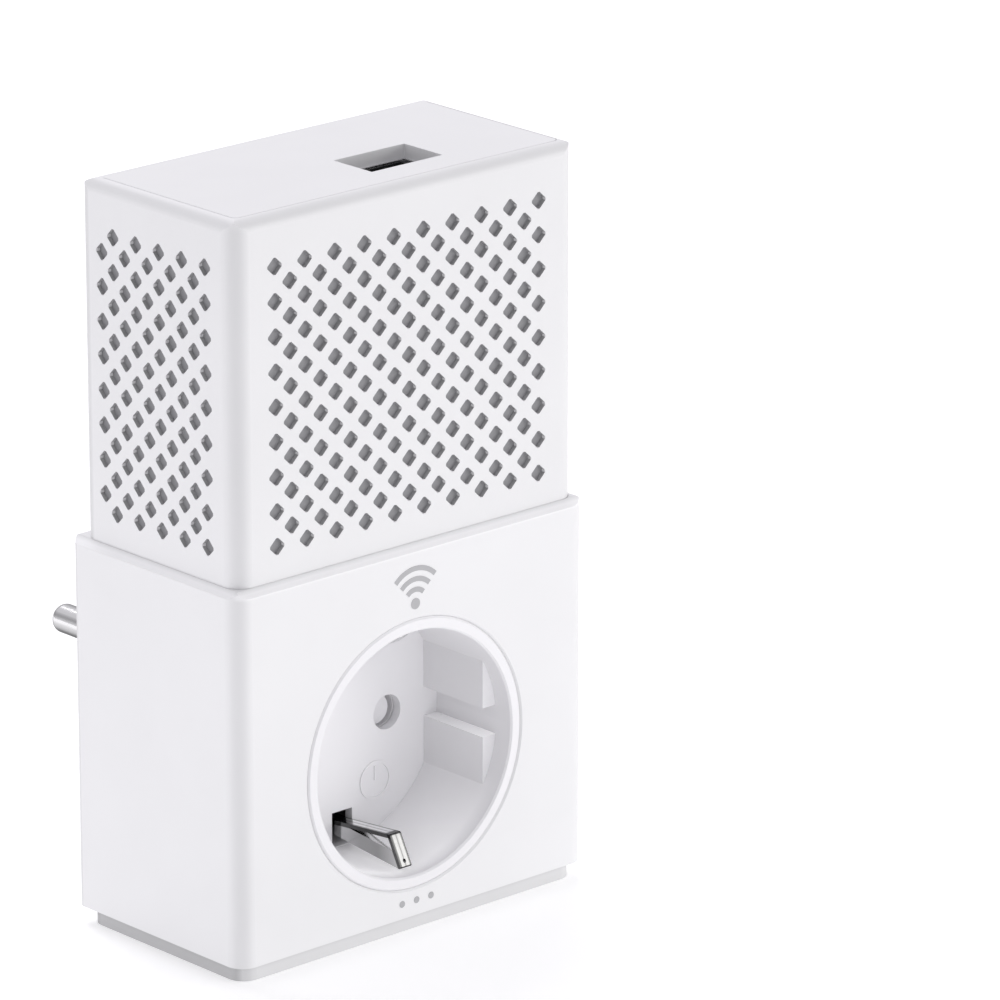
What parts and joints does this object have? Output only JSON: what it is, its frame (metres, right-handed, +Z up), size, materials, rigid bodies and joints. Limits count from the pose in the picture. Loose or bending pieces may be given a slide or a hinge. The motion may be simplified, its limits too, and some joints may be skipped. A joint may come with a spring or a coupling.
{
  "type": "powerline network adapter",
  "caption": "Plug-in powerline network adapter with an earthed pass-through socket on the front, diamond vents, a network port in the top and a round plug at the back.",
  "frame": {"origin": "centre of the flat underside of the base step", "axes": "+Z up, the socket faces -Y, the plug pins point along +Y, +X to the right seen from the front"},
  "size_m": [0.0724, 0.0752, 0.121],
  "materials": {
    "casing_white": "fine satin moulded texture",
    "socket_white": "smooth satin",
    "liner_grey": "matt sheet",
    "print_grey": "printed ink",
    "carrier_grey": "matt",
    "spring_steel": "bright drawn wire",
    "contact_brass": "stamped",
    "clip_chrome": "bright nickel plated spring strip",
    "pin_nickel": "nickel plated, turned",
    "button_white": "satin",
    "black_plastic": "moulded",
    "board_green": "solder mask",
    "led_lens": "moulded lens",
    "clear_plastic": "clear moulded",
    "wire_red": "wire insulation",
    "chip_black": "epoxy package",
    "heat_sink_aluminium": "extruded",
    "can_steel": "pressed tinplate",
    "ferrite_grey": "sintered ferrite",
    "tape_yellow": "polyester tape",
    "copper_wire": "enamelled copper",
    "contact_gold": "gold plated",
    "sleeve_blue": "shrink sleeve",
    "fuse_brown": "moulded",
    "screw_zinc": "zinc plated"
  },
  "bodies": {
    "casing": {"front_shell": "casing_white", "top_plate": "casing_white", "vent_liner": "liner_grey", "lower_sleeve": "casing_white", "rear_cover": "casing_white", "fascia_mark": "print_grey", "socket_insert": "socket_white", "contact_carrier": "carrier_grey", "line_contact_left": "contact_brass", "line_contact_right": "contact_brass", "line_bar_left": "contact_brass", "line_bar_right": "contact_brass", "earth_clip_top": "clip_chrome", "earth_clip_bottom": "clip_chrome", "earth_strap": "contact_brass", "plug_pin_left": "pin_nickel", "plug_pin_right": "pin_nickel", "plug_earth_top": "pin_nickel", "plug_earth_bottom": "pin_nickel", "pair_switch": "black_plastic", "side_board": "board_green", "status_leds": "led_lens", "light_pipe": "clear_plastic", "link_headers": "black_plastic", "link_wires": "wire_red", "main_board": "board_green", "plc_chip": "chip_black", "chip_heat_sink": "heat_sink_aluminium", "memory_chip": "chip_black", "lan_magnetics": "chip_black", "crystal": "can_steel", "coupling_transformer": "tape_yellow", "rj45_shield": "can_steel", "rj45_insert": "black_plastic", "rj45_contacts": "contact_gold", "power_board": "board_green", "board_header": "black_plastic", "power_transformer": "ferrite_grey", "transformer_winding": "tape_yellow", "bulk_capacitor": "sleeve_blue", "safety_capacitor": "tape_yellow", "choke_core": "ferrite_grey", "choke_winding": "copper_wire", "line_fuse": "fuse_brown", "varistor": "sleeve_blue", "output_capacitors": "sleeve_blue", "case_screws": "screw_zinc", "board_screws": "screw_zinc"},
    "shutter": {"shutter": "socket_white", "shutter_spring": "spring_steel"},
    "pair_button": {"pair_button": "button_white", "switch_plunger": "black_plastic"}
  },
  "joints": [
    {"name": "shutter_turn", "type": "hinge", "parent": "casing", "child": "shutter", "pos_m": [0, 0.0005, 0.0293], "axis": [0, -1, 0], "range_deg": [0, 40], "stiffness_Nm_per_rad": 0.004, "springref_deg": -20.05},
    {"name": "button_press", "type": "slide", "parent": "casing", "child": "pair_button", "axis": [-1, 0, 0], "range_m": [0, 0.0004], "stiffness_N_per_m": 800, "springref_m": -0.0004}
  ]
}
